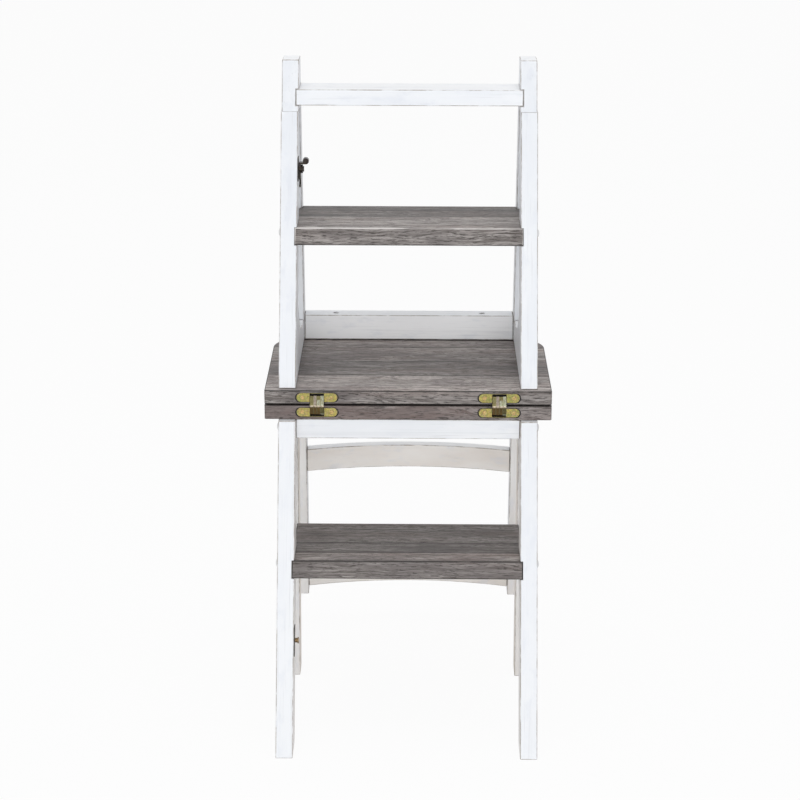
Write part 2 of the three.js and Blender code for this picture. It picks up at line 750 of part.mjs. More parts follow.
function makePivot() {
  const top = fit + plateThickness + leverLift + hubHeight + fit;
  const profile = [
    [0, -studRootLength], [pivotRadius, -studRootLength], [pivotRadius, top], [pivotHeadRadius, top],
    [pivotHeadRadius, top + pivotHeadHeight], [0, top + pivotHeadHeight],
  ];
  const place = [-railInner, seam(latchHeight) + pivotReach, latchHeight];
  piece("latch_pivot", turned(profile, place, toRight), bronze);
}

makeLowerBoard();
makeLowerRails();
makeFrontLegs();
makeSideAprons("lower", sideApron(() => legReach, underSeat, -1));
makeCrossRail();
makeFrontApron();
makeLowerStep();
makeLeaves("lower", -1);
makeBolts("lower_step_bolt");
makeBolts("cross_rail_bolt");
makePlate("strike", strikeHeight, studReach, strikePlateLength, strikeScrewOffset, studRootRadius);
makeStud();

makeUpperBoard();
makeUpperRails();
makeRearPosts();
makeSideAprons("upper", sideApron(postNear, overSeat, 1));
makeRearApron();
makeUpperStep();
makeTopRail();
makeSlat("back_slat_lower", lowerSlatTop, lowerSlatHeight);
makeSlat("back_slat_crest", crestSlatTop, crestSlatHeight);
makeLeaves("upper", 1);
makeBolts("upper_step_bolt");
makePlate("hook", latchHeight, pivotReach, hookPlateLength, hookScrewOffset, pivotRadius);

makeLinks();
makeLever();
makePivot();

for (const side of sides) {
  apronScrew("front_apron_screw", side, frontScrewReach, frontApronBase, lowerBoardBase, toTop);
  apronScrew("rear_apron_screw", side, rearScrewReach, rearApronTop, upperBoardTop, toBase);
}

const chair = new THREE.Group();
chair.add(...pieces);
const reach = new THREE.Box3().setFromObject(chair);
chair.position.y = -(reach.min.y + reach.max.y) / 2;

export default chair;
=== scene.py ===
import json
import math

import bmesh
import bpy
from mathutils import Matrix, Vector

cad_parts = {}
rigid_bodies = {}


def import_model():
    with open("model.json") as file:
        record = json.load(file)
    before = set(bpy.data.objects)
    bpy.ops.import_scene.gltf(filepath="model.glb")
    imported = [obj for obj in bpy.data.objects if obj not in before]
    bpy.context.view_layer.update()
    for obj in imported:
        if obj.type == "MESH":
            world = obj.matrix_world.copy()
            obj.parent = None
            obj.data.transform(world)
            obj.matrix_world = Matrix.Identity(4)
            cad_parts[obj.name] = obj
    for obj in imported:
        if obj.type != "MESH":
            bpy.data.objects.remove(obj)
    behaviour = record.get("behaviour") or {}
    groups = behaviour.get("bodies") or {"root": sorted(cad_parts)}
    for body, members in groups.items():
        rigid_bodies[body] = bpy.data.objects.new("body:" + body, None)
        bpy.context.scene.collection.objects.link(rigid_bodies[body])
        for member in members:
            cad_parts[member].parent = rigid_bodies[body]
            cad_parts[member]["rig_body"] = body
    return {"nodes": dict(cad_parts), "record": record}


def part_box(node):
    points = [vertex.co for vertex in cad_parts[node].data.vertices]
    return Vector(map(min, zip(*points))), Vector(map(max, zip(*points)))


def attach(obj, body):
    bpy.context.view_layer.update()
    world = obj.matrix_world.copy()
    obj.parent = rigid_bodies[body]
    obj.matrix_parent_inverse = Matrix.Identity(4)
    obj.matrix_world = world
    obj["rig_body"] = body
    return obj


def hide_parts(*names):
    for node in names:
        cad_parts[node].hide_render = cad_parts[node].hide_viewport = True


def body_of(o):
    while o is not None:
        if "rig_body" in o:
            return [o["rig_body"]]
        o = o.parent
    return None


# Library step chair: timber with rubbed edges, washed treads, yellow zinc hinges, dark latch

MM = 0.001

# Camera, in millimetres and degrees
CAMERA_PLACE = (-11.1, -3000.0, 1410.1)
CAMERA_HEADING = 0.4
CAMERA_PITCH = 17.61
CAMERA_ROLL = 0.15
CAMERA_LENS = 102.97
CAMERA_REACH = 60000.0
SENSOR_WIDTH = 36.0

# Lamps, in metres and watts: place, aim, width and height, power
LAMPS = {
    "front": ((0.0, -4.2, 0.95), (0.0, 0.0, 0.45), (3.2, 1.7), 62.0),
    "key_left": ((-2.3, -2.9, 2.5), (0.0, 0.0, 0.45), (1.8, 2.2), 8.0),
    "fill_right": ((2.5, -2.5, 2.2), (0.0, 0.0, 0.45), (1.8, 2.2), 8.0),
    "top": ((0.0, 0.2, 3.2), (0.0, 0.0, 0.4), (2.4, 2.0), 26.0),
}

# Floor, in metres, and the share of it that is plain white to the camera
FLOOR_HALF = 14.0
FLOOR_GLOW_SHARE = 0.95

# Meshes, in millimetres and degrees
WELD = 0.02
FINE_WELD = 0.001
FLAT_ANGLE = 0.6
SHARP_ANGLE = 28.0
CREASE_ANGLE = 40.0
ROUND_SEGMENTS = 3
TURN_SEGMENTS = 32

# Timber, in millimetres
PAINT_ROUND = 1.1
TREAD_ROUND = 1.5
SHORTEST_ROUND = 4.0
TIGHT_JOINT = 0.5
JOINT_LINE = 2.6
RAIL_RUN = 176.0
RAIL_RISE = 450.0

# Least share of a face's normal that makes it flat to a side, an underside, a near face, an end or a crest
FLAT_SHARE = 0.7
UNDER_SHARE = 0.4
NEAR_SHARE = 0.5
END_SHARE = 0.3
CREST_SHARE = 0.15

# Extra darkening of rounded edges: painted shade along painted undersides, more at treads' ends, wear on
# treads without the painted highlight
UNDER_EDGE_SHADE = 1.5
END_DARKENING = 2.6
TREAD_WEAR = 2.0

# Steps that give each piece, each tread and each plank a part of the grain to itself, in metres
PIECE_STEPS = (1.37, 0.73, 0.41)
TREAD_STEPS = (5.1, 0.7, 0.0)
PLANK_STEPS = (2.3, 1.9, 0.31)

# Hinge recesses in the boards' near edges, in millimetres from the hinge line
HINGE_OFFSET = 125.5
RECESS_HALF = 31.0
RECESS_END = 20.0
RECESS_HEIGHT = 18.9
RECESS_ROUND_START = -1.0
# Where the painted shade in the hinge recesses starts
RECESS_SHADE_START = 0.6

# Link packs, in millimetres, with heights from the hinge line; plates go from left to right
LINK_PACK = 19.0
LINK_GAP = 0.8
LINK_TIP = 13.8
LINK_ENDS = ((-12.7, 11.7), (-12.7, LINK_TIP), (-12.7, 8.2), (-9.3, LINK_TIP))
LINK_ROUND = 0.22
BEND_HALF = 1.2
BEND_REACH = 6.2
BEND_FALL = 4.6
INNER_TIP_REACH = 0.2
INNER_RISE = 3.8
STUB_TOP = -11.2
STUB_SET_BACK = 0.1
CORE_ENDS = (-12.3, 13.2)
CORE_INSET = 0.4
CORE_SET_BACK = 0.9
MARK_SLACK = 0.05
# Height under which the link plates are darker
DARK_LOWER_TOP = -1.0

# Rounding of the metal pieces, in millimetres
LEAF_ROUND = 0.35
PLATE_ROUND = 0.3
LEVER_ROUND = 0.45
PIVOT_ROUND = 0.4
STUD_ROUND = 0.5

# Screws, in millimetres: radius of the head, radius of the shank, length and width of the cross slot
LEAF_SCREW = (3.0, 1.6, 3.4, 0.8)
APRON_SCREW = (4.2, 2.2, 4.6, 1.0)
PLATE_SCREW = (2.2, 1.3, 2.4, 0.6)

# A screw's head, as shares of its radius
RIM_SHARE = 0.94
SHOULDER_SHARE = 0.08
HEAD_SHARE = 0.24
NECK_SHARE = 0.34
SLOT_DEPTH_SHARE = 0.30
SLOT_FLOOR_SHARE = 0.7

# Capped bolts, in millimetres
CAP_RADIUS = 6.0
CAP_RISE = 3.0
BOLT_RADIUS = 3.0

TO_NEAR = (0.0, -1.0, 0.0)
TO_RIGHT = (1.0, 0.0, 0.0)
TO_LEFT = (-1.0, 0.0, 0.0)
TO_TOP = (0.0, 0.0, 1.0)
TO_BASE = (0.0, 0.0, -1.0)

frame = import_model()
for spare in [obj for obj in bpy.data.objects if obj.name in ("Cube", "Light", "Camera")]:
    bpy.data.objects.remove(spare)
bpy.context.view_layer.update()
hinge_line = Vector(frame["record"]["behaviour"]["joints"][0]["pos_m"])
rail_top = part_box("upper_rail_left")[1].z


# Shader graphs

class Graph:
    """The nodes of one material or world, made by short calls that return sockets."""

    def __init__(self, tree):
        self.tree = tree
        tree.nodes.clear()

    def node(self, kind, inputs=None, **settings):
        made = self.tree.nodes.new("ShaderNode" + kind)
        for name, value in settings.items():
            setattr(made, name, value)
        for name, value in (inputs or {}).items():
            if isinstance(value, bpy.types.NodeSocket):
                self.tree.links.new(value, made.inputs[name])
            else:
                made.inputs[name].default_value = value
        return made

    def attribute(self, name, output="Fac"):
        return self.node("Attribute", attribute_name=name).outputs[output]

    def math(self, operation, *values, clamp=False):
        inputs = dict(enumerate(values))
        return self.node("Math", inputs, operation=operation, use_clamp=clamp).outputs[0]

    def times(self, first, second, clamp=False):
        return self.math("MULTIPLY", first, second, clamp=clamp)

    def larger(self, first, second):
        return self.math("MAXIMUM", first, second)

    def scaled(self, vector, scale):
        return self.node("VectorMath", {0: vector, 1: scale}, operation="MULTIPLY").outputs[0]

    def added(self, vector, other):
        return self.node("VectorMath", {0: vector, 1: other}, operation="ADD").outputs[0]

    def noise(self, vector, scale, detail=3.0, roughness=0.55, distortion=0.0):
        inputs = {"Vector": vector, "Scale": scale, "Detail": detail,
                  "Roughness": roughness, "Distortion": distortion}
        return self.node("TexNoise", inputs).outputs[0]

    def streaks(self, grain, along, across, detail=3.0, roughness=0.55, distortion=0.0):
        """Noise drawn out along the grain, with a scale along it and another across it."""
        return self.noise(self.scaled(grain, (along, across, across)), 1.0, detail, roughness, distortion)

    def ramp(self, value, low, high, to_low=0.0, to_high=1.0):
        inputs = {"Value": value, "From Min": low, "From Max": high, "To Min": to_low, "To Max": to_high}
        return self.node("MapRange", inputs, clamp=True, interpolation_type="SMOOTHSTEP").outputs[0]

    def mix(self, factor, first, second, blend="MIX"):
        inputs = {0: factor, 6: first, 7: second}
        return self.node("Mix", inputs, data_type="RGBA", blend_type=blend).outputs[2]

    def stain(self, base, colour, value, low, high, share):
        """Lays colour over base, from none where value is at low up to share where it is at high."""
        return self.mix(self.ramp(value, low, high, 0.0, share), base, colour)

    def bump(self, height, strength, distance):
        inputs = {"Height": height, "Strength": strength, "Distance": distance}
        return self.node("Bump", inputs).outputs["Normal"]

    def edge_nearness(self, radius, full):
        """How near an edge a point lies, from 0 on a flat face to 1."""
        rounded = self.node("Bevel", {"Radius": radius}, samples=4).outputs[0]
        normal = self.node("NewGeometry").outputs["Normal"]
        same = self.node("VectorMath", {0: rounded, 1: normal}, operation="DOT_PRODUCT").outputs["Value"]
        return self.ramp(self.math("SUBTRACT", 1.0, same), 0.0, full)

    def occlusion_shade(self, reach, low, high):
        """Painted shade from ambient occlusion: 1 deep in the joints between pieces, 0 on open faces."""
        open_share = self.node("AmbientOcclusion", {"Distance": reach}, samples=6).outputs["AO"]
        return self.ramp(open_share, low, high, 1.0, 0.0)

    def seen_rays(self):
        """1 for camera, glossy and transmission rays, 0 for the rest."""
        path = self.node("LightPath").outputs
        return self.larger(
            self.larger(path["Is Camera Ray"], path["Is Glossy Ray"]), path["Is Transmission Ray"])

    def finish(self, **inputs):
        names = {key.replace("_", " "): value for key, value in inputs.items()}
        shader = self.node("BsdfPrincipled", names)
        self.node("OutputMaterial", {"Surface": shader.outputs[0]})


def material(name):
    made = bpy.data.materials.new(name)
    made.use_nodes = True
    return made, Graph(made.node_tree)


def rgb(red, green, blue):
    return (red, green, blue, 1.0)


# White paint with faint grain, rubbed to bare timber at the edges, with grime and painted shade in the
# joints
PAINT_DULL = rgb(0.800, 0.824, 0.866)
PAINT_PALE = rgb(0.855, 0.872, 0.900)
# Beige for painted warm shade, as where light thrown back by the wood falls in shade
SHADE_BEIGE_DULL = rgb(0.86, 0.77, 0.68)
SHADE_BEIGE_PALE = rgb(0.94, 0.89, 0.83)
# Whiter paint for painted light on tops and near faces
PAINTED_LIGHT_WHITE = rgb(0.95, 0.955, 0.965)
PAINT_BLOTCH = rgb(0.70, 0.73, 0.80)
PAINT_LINE = rgb(0.62, 0.63, 0.66)
PAINT_GRAIN = rgb(0.50, 0.50, 0.52)
TIMBER_DARK = rgb(0.20, 0.165, 0.135)
TIMBER_PALE = rgb(0.42, 0.37, 0.325)
GRIME_AND_SHADE = rgb(0.13, 0.10, 0.085)


def make_paint():
    made, g = material("white_paint_rubbed")
    grain = g.attribute("grain", "Vector")
    warm = g.attribute("warm")
    fine = g.streaks(grain, 9.0, 420.0, 5.0, 0.62)
    lines = g.streaks(grain, 3.0, 130.0, 3.0, 0.5, 0.6)
    cloud = g.streaks(grain, 7.0, 22.0)
    blotch = g.streaks(grain, 24.0, 60.0, 4.0, 0.6)
    patches = g.noise(grain, 38.0, 5.0, 0.62)

    clouded = g.ramp(cloud, 0.3, 0.7)
    # Painted warm shade turns the paint beige
    coat = g.mix(warm, g.mix(clouded, PAINT_DULL, PAINT_PALE), g.mix(clouded, SHADE_BEIGE_DULL, SHADE_BEIGE_PALE))
    # Painted light whitens the tops and the near faces
    coat = g.mix(g.attribute("lift"), coat, PAINTED_LIGHT_WHITE)
    coat = g.stain(coat, PAINT_BLOTCH, blotch, 0.52, 0.68, 0.30)
    # The faces with painted warm shade show less grain
    quiet = g.math("SUBTRACT", 1.0, g.times(warm, 0.75), clamp=True)
    coat = g.mix(g.times(quiet, g.ramp(lines, 0.58, 0.76, 0.0, 0.28)), coat, PAINT_LINE)
    coat = g.mix(g.times(quiet, g.ramp(fine, 0.58, 0.74, 0.0, 0.34)), coat, PAINT_GRAIN)

    # Rounded edges show the timber in patches: wear, and along undersides painted shade too
    edge_marks = g.times(g.attribute("edge"), g.ramp(patches, 0.36, 0.62, 0.16, 0.85), clamp=True)
    beside = g.times(g.edge_nearness(0.0015, 0.10), g.ramp(patches, 0.52, 0.68, 0.0, 0.60))
    timber = g.mix(g.noise(grain, 90.0, 2.0), TIMBER_DARK, TIMBER_PALE)
    colour = g.mix(g.larger(edge_marks, beside), coat, timber)
    # Grime and painted shade in the joints, found by ambient occlusion and laid on in patches
    grime_and_shade = g.times(g.occlusion_shade(0.004, 0.30, 0.62), g.ramp(patches, 0.30, 0.60, 0.45, 0.85))
    g.finish(
        Base_Color=g.mix(grime_and_shade, colour, GRIME_AND_SHADE),
        Roughness=g.ramp(cloud, 0.3, 0.7, 0.42, 0.55),
        Normal=g.bump(g.math("ADD", g.times(fine, 0.5), g.times(lines, 0.6)), 0.10, 0.0006),
    )
    return made


# Grey-washed planks with open pores, dark in their seams and along their rubbed edges, with painted shade
# in the joints between pieces
WASH_DARK = rgb(0.150, 0.133, 0.124)
WASH_PALE = rgb(0.350, 0.322, 0.307)
WASH_STREAK = rgb(0.078, 0.066, 0.060)
WASH_LIME = rgb(0.50, 0.47, 0.45)
WASH_CLOUD_SHADOW = rgb(0.110, 0.096, 0.094)
WASH_WARM = rgb(0.215, 0.158, 0.138)
WASH_RED = rgb(0.165, 0.108, 0.098)
WASH_DASH = rgb(0.044, 0.035, 0.031)
WASH_PORE = rgb(0.045, 0.038, 0.034)
WASH_HIGHLIGHT = rgb(0.66, 0.63, 0.61)
WASH_BLACK = rgb(0.022, 0.018, 0.016)


def make_washed_wood():
    made, g = material("washed_wood_planks")
    tone = g.attribute("tone")
    grain = g.added(g.attribute("grain", "Vector"), g.attribute("shift", "Vector"))
    # The rings bend slowly along the plank, so that their lines run in long flat arches
    bend = g.streaks(grain, 5.5, 16.0, 2.0, 0.5)
    bent = g.added(grain, g.scaled(bend, (0.0, 0.030, 0.030)))
    bands = g.streaks(bent, 4.0, 160.0, 4.0, 0.62, 0.2)
    streaks = g.streaks(bent, 26.0, 560.0, 5.0, 0.68, 0.2)
    dashes = g.streaks(bent, 70.0, 820.0, 3.0, 0.60, 0.1)
    pores = g.streaks(bent, 95.0, 1300.0, 2.0, 0.5)
    cloud = g.streaks(grain, 7.0, 20.0)
    warm = g.streaks(grain, 5.0, 45.0, 2.0, 0.5)
    patches = g.noise(grain, 55.0, 4.0, 0.6)
    long_patches = g.streaks(grain, 9.0, 30.0, 3.0, 0.6)

    base = g.mix(g.ramp(bands, 0.36, 0.66), WASH_DARK, WASH_PALE)
    base = g.stain(base, WASH_STREAK, streaks, 0.52, 0.62, 0.80)
    base = g.stain(base, WASH_LIME, streaks, 0.46, 0.32, 0.62)
    # Darker clouds over the planks: painted soft shadow
    base = g.stain(base, WASH_CLOUD_SHADOW, cloud, 0.46, 0.60, 0.66)
    base = g.stain(base, WASH_WARM, warm, 0.46, 0.72, 0.35)
    base = g.mix(g.times(g.attribute("red"), g.ramp(warm, 0.30, 0.60, 0.25, 0.60)), base, WASH_RED)
    base = g.stain(base, WASH_DASH, dashes, 0.545, 0.595, 0.92)
    base = g.stain(base, WASH_PORE, pores, 0.62, 0.72, 0.55)
    shade = g.node("CombineColor", {"Red": tone, "Green": tone, "Blue": tone}).outputs[0]
    base = g.mix(1.0, base, shade, "MULTIPLY")

    # Painted highlight along the rounded near top edge, in long patches
    painted_highlight = g.times(g.attribute("crest"), g.ramp(long_patches, 0.42, 0.58, 0.25, 1.0))
    base = g.mix(painted_highlight, base, WASH_HIGHLIGHT)
    edge_marks = g.times(g.attribute("edge"), g.ramp(patches, 0.36, 0.58, 0.35, 0.95), clamp=True)
    seams = g.times(g.attribute("joint"), g.ramp(patches, 0.36, 0.56, 0.45, 0.95))
    # Dark edge marks and seams, with painted shade in the hinge recesses
    marks_and_shade = g.larger(g.larger(edge_marks, seams), g.attribute("recess"))
    # Painted shade in the joints between pieces, found by ambient occlusion
    marks_and_shade = g.larger(marks_and_shade, g.times(g.occlusion_shade(0.004, 0.30, 0.60), 0.75))
    dents = g.math("ADD", g.ramp(pores, 0.58, 0.70), g.ramp(dashes, 0.58, 0.68))
    g.finish(
        Base_Color=g.mix(marks_and_shade, base, WASH_BLACK),
        Roughness=g.ramp(streaks, 0.3, 0.7, 0.44, 0.62),
        Normal=g.bump(g.math("SUBTRACT", g.times(bands, 0.4), dents), 0.30, 0.0004),
    )
    return made


# Metals, with the colours of their skin, its second shade, its specks and their worn edges
METALS = {
    "yellow_zinc": {
        "skin": rgb(0.37, 0.31, 0.09), "shade": rgb(0.24, 0.26, 0.075), "speck": rgb(0.40, 0.26, 0.17),
        "worn": rgb(0.62, 0.56, 0.34), "roughness": 0.34, "stipple": 0.80},
    "screw_zinc": {
        "skin": rgb(0.52, 0.36, 0.14), "shade": rgb(0.46, 0.38, 0.14), "speck": rgb(0.50, 0.26, 0.14),
        "worn": rgb(0.72, 0.60, 0.36), "roughness": 0.34, "stipple": 0.25},
    "link_nickel": {
        "skin": rgb(0.20, 0.17, 0.14), "shade": rgb(0.16, 0.145, 0.12), "speck": rgb(0.22, 0.17, 0.145),
        "worn": rgb(0.45, 0.40, 0.32), "roughness": 0.42, "stipple": 0.20},
    "link_dark_lower": {
        "skin": rgb(0.14, 0.095, 0.035), "shade": rgb(0.10, 0.070, 0.030), "speck": rgb(0.20, 0.12, 0.06),
        "worn": rgb(0.30, 0.22, 0.12), "roughness": 0.42, "stipple": 0.25},
    "dark_bronze_wax": {
        "skin": rgb(0.017, 0.015, 0.017), "shade": rgb(0.026, 0.023, 0.024),
        "speck": rgb(0.040, 0.028, 0.022), "worn": rgb(0.12, 0.10, 0.09),
        "roughness": 0.26, "stipple": 0.25},
    "worn_copper": {
        "skin": rgb(0.20, 0.13, 0.07), "shade": rgb(0.26, 0.18, 0.09), "speck": rgb(0.08, 0.055, 0.035),
        "worn": rgb(0.34, 0.26, 0.15), "roughness": 0.30, "stipple": 0.20},
    "link_greenish": {
        "skin": rgb(0.20, 0.21, 0.14), "shade": rgb(0.25, 0.26, 0.20), "speck": rgb(0.20, 0.16, 0.12),
        "worn": rgb(0.46, 0.44, 0.35), "roughness": 0.42, "stipple": 0.20},
    "link_olive": {
        "skin": rgb(0.14, 0.13, 0.060), "shade": rgb(0.11, 0.10, 0.045), "speck": rgb(0.16, 0.12, 0.07),
        "worn": rgb(0.28, 0.25, 0.14), "roughness": 0.42, "stipple": 0.25},
    # Painted highlight on the near face of the links' bend
    "link_bend_highlight": {
        "skin": rgb(0.40, 0.34, 0.27), "shade": rgb(0.34, 0.29, 0.22), "speck": rgb(0.44, 0.36, 0.28),
        "worn": rgb(0.52, 0.46, 0.37), "roughness": 0.38, "stipple": 0.20},
}
MOTTLE_DARK = rgb(0.03, 0.03, 0.01)


def make_metal(name, skin, shade, speck, worn, roughness, stipple):
    made, g = material(name)
    place = g.node("TexCoord").outputs["Object"]
    hue = g.noise(place, 170.0, 3.0, 0.6)
    tint = g.noise(g.added(place, (3.1, 1.7, 0.4)), 420.0, 2.0, 0.5)
    mottle = g.noise(g.added(place, (1.3, 0.2, 2.9)), 380.0, 3.0, 0.75)
    grit = g.noise(place, 1500.0, 3.0, 0.6)
    colour = g.mix(g.ramp(hue, 0.38, 0.62), skin, shade)
    colour = g.stain(colour, speck, tint, 0.52, 0.70, 0.7)
    colour = g.stain(colour, g.mix(0.60, speck, MOTTLE_DARK), mottle, 0.46, 0.62, 0.60)
    g.finish(
        Base_Color=g.mix(g.times(g.edge_nearness(0.0005, 0.12), 0.6), colour, worn),
        Metallic=1.0,
        Roughness=g.ramp(grit, 0.3, 0.7, roughness - 0.08, roughness + 0.10),
        Normal=g.bump(grit, stipple, 0.0002),
    )
    return made


# Enamel of the bolt caps, with painted shade on the rim where the dome turns away from the view
ENAMEL_DULL = rgb(0.80, 0.81, 0.82)
ENAMEL_PALE = rgb(0.88, 0.885, 0.89)
ENAMEL_SPECK = rgb(0.55, 0.53, 0.50)
ENAMEL_RIM_SHADE = rgb(0.42, 0.41, 0.40)


def make_enamel():
    made, g = material("cap_enamel")
    place = g.node("TexCoord").outputs["Object"]
    cloud = g.noise(place, 60.0, 3.0)
    speck = g.noise(place, 900.0, 2.0)
    # Painted shade: the rim darkens as the dome turns away from the view
    turned_away_shade = g.node("LayerWeight", {"Blend": 0.5}).outputs["Facing"]
    colour = g.mix(g.ramp(cloud, 0.35, 0.65), ENAMEL_DULL, ENAMEL_PALE)
    colour = g.stain(colour, ENAMEL_SPECK, speck, 0.66, 0.78, 0.4)
    g.finish(
        Base_Color=g.stain(colour, ENAMEL_RIM_SHADE, turned_away_shade, 0.55, 0.95, 0.85),
        Roughness=g.ramp(cloud, 0.3, 0.7, 0.28, 0.40),
        Normal=g.bump(speck, 0.08, 0.0002),
        Coat_Weight=0.3,
    )
    return made


paint = make_paint()
washed_wood = make_washed_wood()
metals = {name: make_metal(name, **looks) for name, looks in METALS.items()}
bronze = metals["dark_bronze_wax"]
cap_enamel = make_enamel()


# Pieces

def settle(node, ending, bm, finishes):
    """Turns a bmesh into the piece that stands for a CAD node and rides on that node's body."""
    for face in bm.faces:
        face.smooth = True
    for edge in bm.edges:
        if edge.is_manifold and edge.calc_face_angle() > math.radians(CREASE_ANGLE):
            edge.smooth = False
    mesh = bpy.data.meshes.new(node + ending)
    bm.to_mesh(mesh)
    bm.free()
    for finish in finishes:
        mesh.materials.append(finish)
    piece = bpy.data.objects.new(node + ending, mesh)
    bpy.context.scene.collection.objects.link(piece)
    weighted = piece.modifiers.new("weighted_normal", "WEIGHTED_NORMAL")
    weighted.keep_sharp = True
    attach(piece, body_of(frame["nodes"][node])[0])
    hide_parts(node)


def cleaned(node):
    """The node's own shape with shared corners and whole flat faces."""
    bm = bmesh.new()
    bm.from_mesh(frame["nodes"][node].data)
    bmesh.ops.remove_doubles(bm, verts=bm.verts, dist=WELD * MM)
    bmesh.ops.dissolve_limit(bm, angle_limit=math.radians(FLAT_ANGLE), verts=bm.verts, edges=bm.edges)
    return bm


def face_layers(bm, *names):
    """Layers that keep a number on each face, fetched once all of them are there."""
    layers = bm.faces.layers.float
    for name in names:
        if layers.get(name) is None:
            layers.new(name)
    return [layers[name] for name in names]


def at_hinge(point, start):
    """Whether a point lies in a hinge's part of the boards' near edges, further back than start, which
    counts in millimetres from the hinge line."""
    place = (point - hinge_line) / MM
    inside = abs(abs(place.x) - HINGE_OFFSET) < RECESS_HALF and start < place.y < RECESS_END
    return inside and abs(place.z) < RECESS_HEIGHT


def round_edges(bm, width, board=False):
    """Rounds the sharp edges, but for the tight joint between the rails' tops and the posts. On a seat
    board the rounding follows the short edges of its corners too, and leaves out the hinge recesses."""
    def sharp(edge):
        if not (edge.is_manifold and edge.is_convex and edge.calc_face_angle() > math.radians(SHARP_ANGLE)):
            return False
        if all(abs(vert.co.z - rail_top) < TIGHT_JOINT * MM for vert in edge.verts):
            return False
        return not (board and at_hinge((edge.verts[0].co + edge.verts[1].co) / 2, RECESS_ROUND_START))

    rounded = face_layers(bm, "edge")[0]
    chosen = {edge for edge in bm.edges if sharp(edge) and edge.calc_length() > SHORTEST_ROUND * MM}
    waiting = list(chosen) if board else []
    while waiting:
        for vert in waiting.pop().verts:
            for edge in vert.link_edges:
                if edge not in chosen and sharp(edge):
                    chosen.add(edge)
                    waiting.append(edge)
    made = bmesh.ops.bevel(
        bm, geom=[edge for edge in bm.edges if edge in chosen], offset=width * MM, offset_type="OFFSET",
        segments=ROUND_SEGMENTS, profile=0.5, affect="EDGES", clamp_overlap=True, loop_slide=True)
    for face in made["faces"]:
        face[rounded] = 1.0


def lay_grain(bm, along, start):
    """Keeps, at each corner, how far it lies along and across the grain."""
    along = Vector(along).normalized()
    side = along.cross(Vector(TO_TOP)).normalized()
    third = along.cross(side)
    grain = bm.verts.layers.float_vector.new("grain")
    for vert in bm.verts:
        vert[grain] = Vector((vert.co.dot(along), vert.co.dot(side), vert.co.dot(third))) + Vector(start)


def painted(node, along, warm, lift, number):
    """A painted piece; the given pair says how far painted light whitens its top and its near face, and the
    given rule where painted warm shade falls.
    """
    bm = cleaned(node)
    round_edges(bm, PAINT_ROUND)
    rounded, painted_light_layer, warm_shade_layer = face_layers(bm, "edge", "lift", "warm")
    for face in bm.faces:
        # Rounded edges on undersides take more of the rubbed colour, as painted shade under the pieces
        if face.normal.z < -UNDER_SHARE:
            face[rounded] *= UNDER_EDGE_SHADE
        # Painted light on the top and on the near face
        if face.normal.z > FLAT_SHARE:
            face[painted_light_layer] = lift[0]
        elif face.normal.y < -FLAT_SHARE:
            face[painted_light_layer] = lift[1]
        # Painted warm shade on the faces that the given rule picks
        face[warm_shade_layer] = warm(face)
    lay_grain(bm, along, [number * step for step in PIECE_STEPS])
    settle(node, "_timber", bm, [paint])


def planked(node, number, seams, tones, near_tone, red, highlight_share=0.0):
    """A tread glued up from planks that meet at the seams, given in millimetres from its near edge. Its
    tones say how bright the planks and the near face are, red how reddish the planks are, and the last
    number how strong the painted highlight along the near top edge is."""
    bm = cleaned(node)
    round_edges(bm, TREAD_ROUND, node.endswith("seat_board"))
    shift = bm.faces.layers.float_vector.new("shift")
    rounded, crest, reddened, recess, joint, tone = face_layers(
        bm, "edge", "crest", "red", "recess", "joint", "tone")
    for face in bm.faces:
        face[reddened] = red
        # The rounded near top edge takes a painted highlight and loses its dark
        if face.normal.z > CREST_SHARE and face.normal.y < -CREST_SHARE:
            face[crest] = face[rounded] * highlight_share
        # Rounded edges are darker at the treads' ends and on treads without the painted highlight
        edge_darkening = END_DARKENING if abs(face.normal.x) > END_SHARE else (1.0 if highlight_share else TREAD_WEAR)
        face[rounded] = max(0.0, face[rounded] - face[crest]) * edge_darkening
    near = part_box(node)[0].y
    for seam in seams:
        for side in (-JOINT_LINE / 2, JOINT_LINE / 2):
            geometry = bm.verts[:] + bm.edges[:] + bm.faces[:]
            place = (0.0, near + (seam + side) * MM, 0.0)
            bmesh.ops.bisect_plane(
                bm, geom=geometry, plane_co=place, plane_no=(0.0, 1.0, 0.0), dist=FINE_WELD * MM)
    for face in bm.faces:
        centre = face.calc_center_median()
        reach = (centre.y - near) / MM
        plank = sum(reach > seam for seam in seams)
        face[tone] = near_tone if face.normal.y < -NEAR_SHARE else tones[plank]
        face[shift] = Vector([plank * p + number * t for p, t in zip(PLANK_STEPS, TREAD_STEPS)])
        face[joint] = float(any(abs(reach - seam) < JOINT_LINE / 2 for seam in seams))
        # Painted shade in the hinge recesses
        face[recess] = float(at_hinge(centre, RECESS_SHADE_START))
    lay_grain(bm, TO_RIGHT, (0.0, 0.0, 0.0))
    settle(node, "_timber", bm, [washed_wood])


def dressed(node, finish, width):
    """A metal piece of the node's own shape with rounded edges."""
    bm = cleaned(node)
    round_edges(bm, width)
    settle(node, "_finished", bm, [finish])


def ring(bm, radius, height, to_world):
    """Corners on a circle round the axis, at a height in millimetres."""
    made = []
    for k in range(TURN_SEGMENTS):
        angle = 2 * math.pi * k / TURN_SEGMENTS
        corner = Vector((radius * math.cos(angle), radius * math.sin(angle), height)) * MM
        made.append(bm.verts.new(to_world @ corner))
    return made


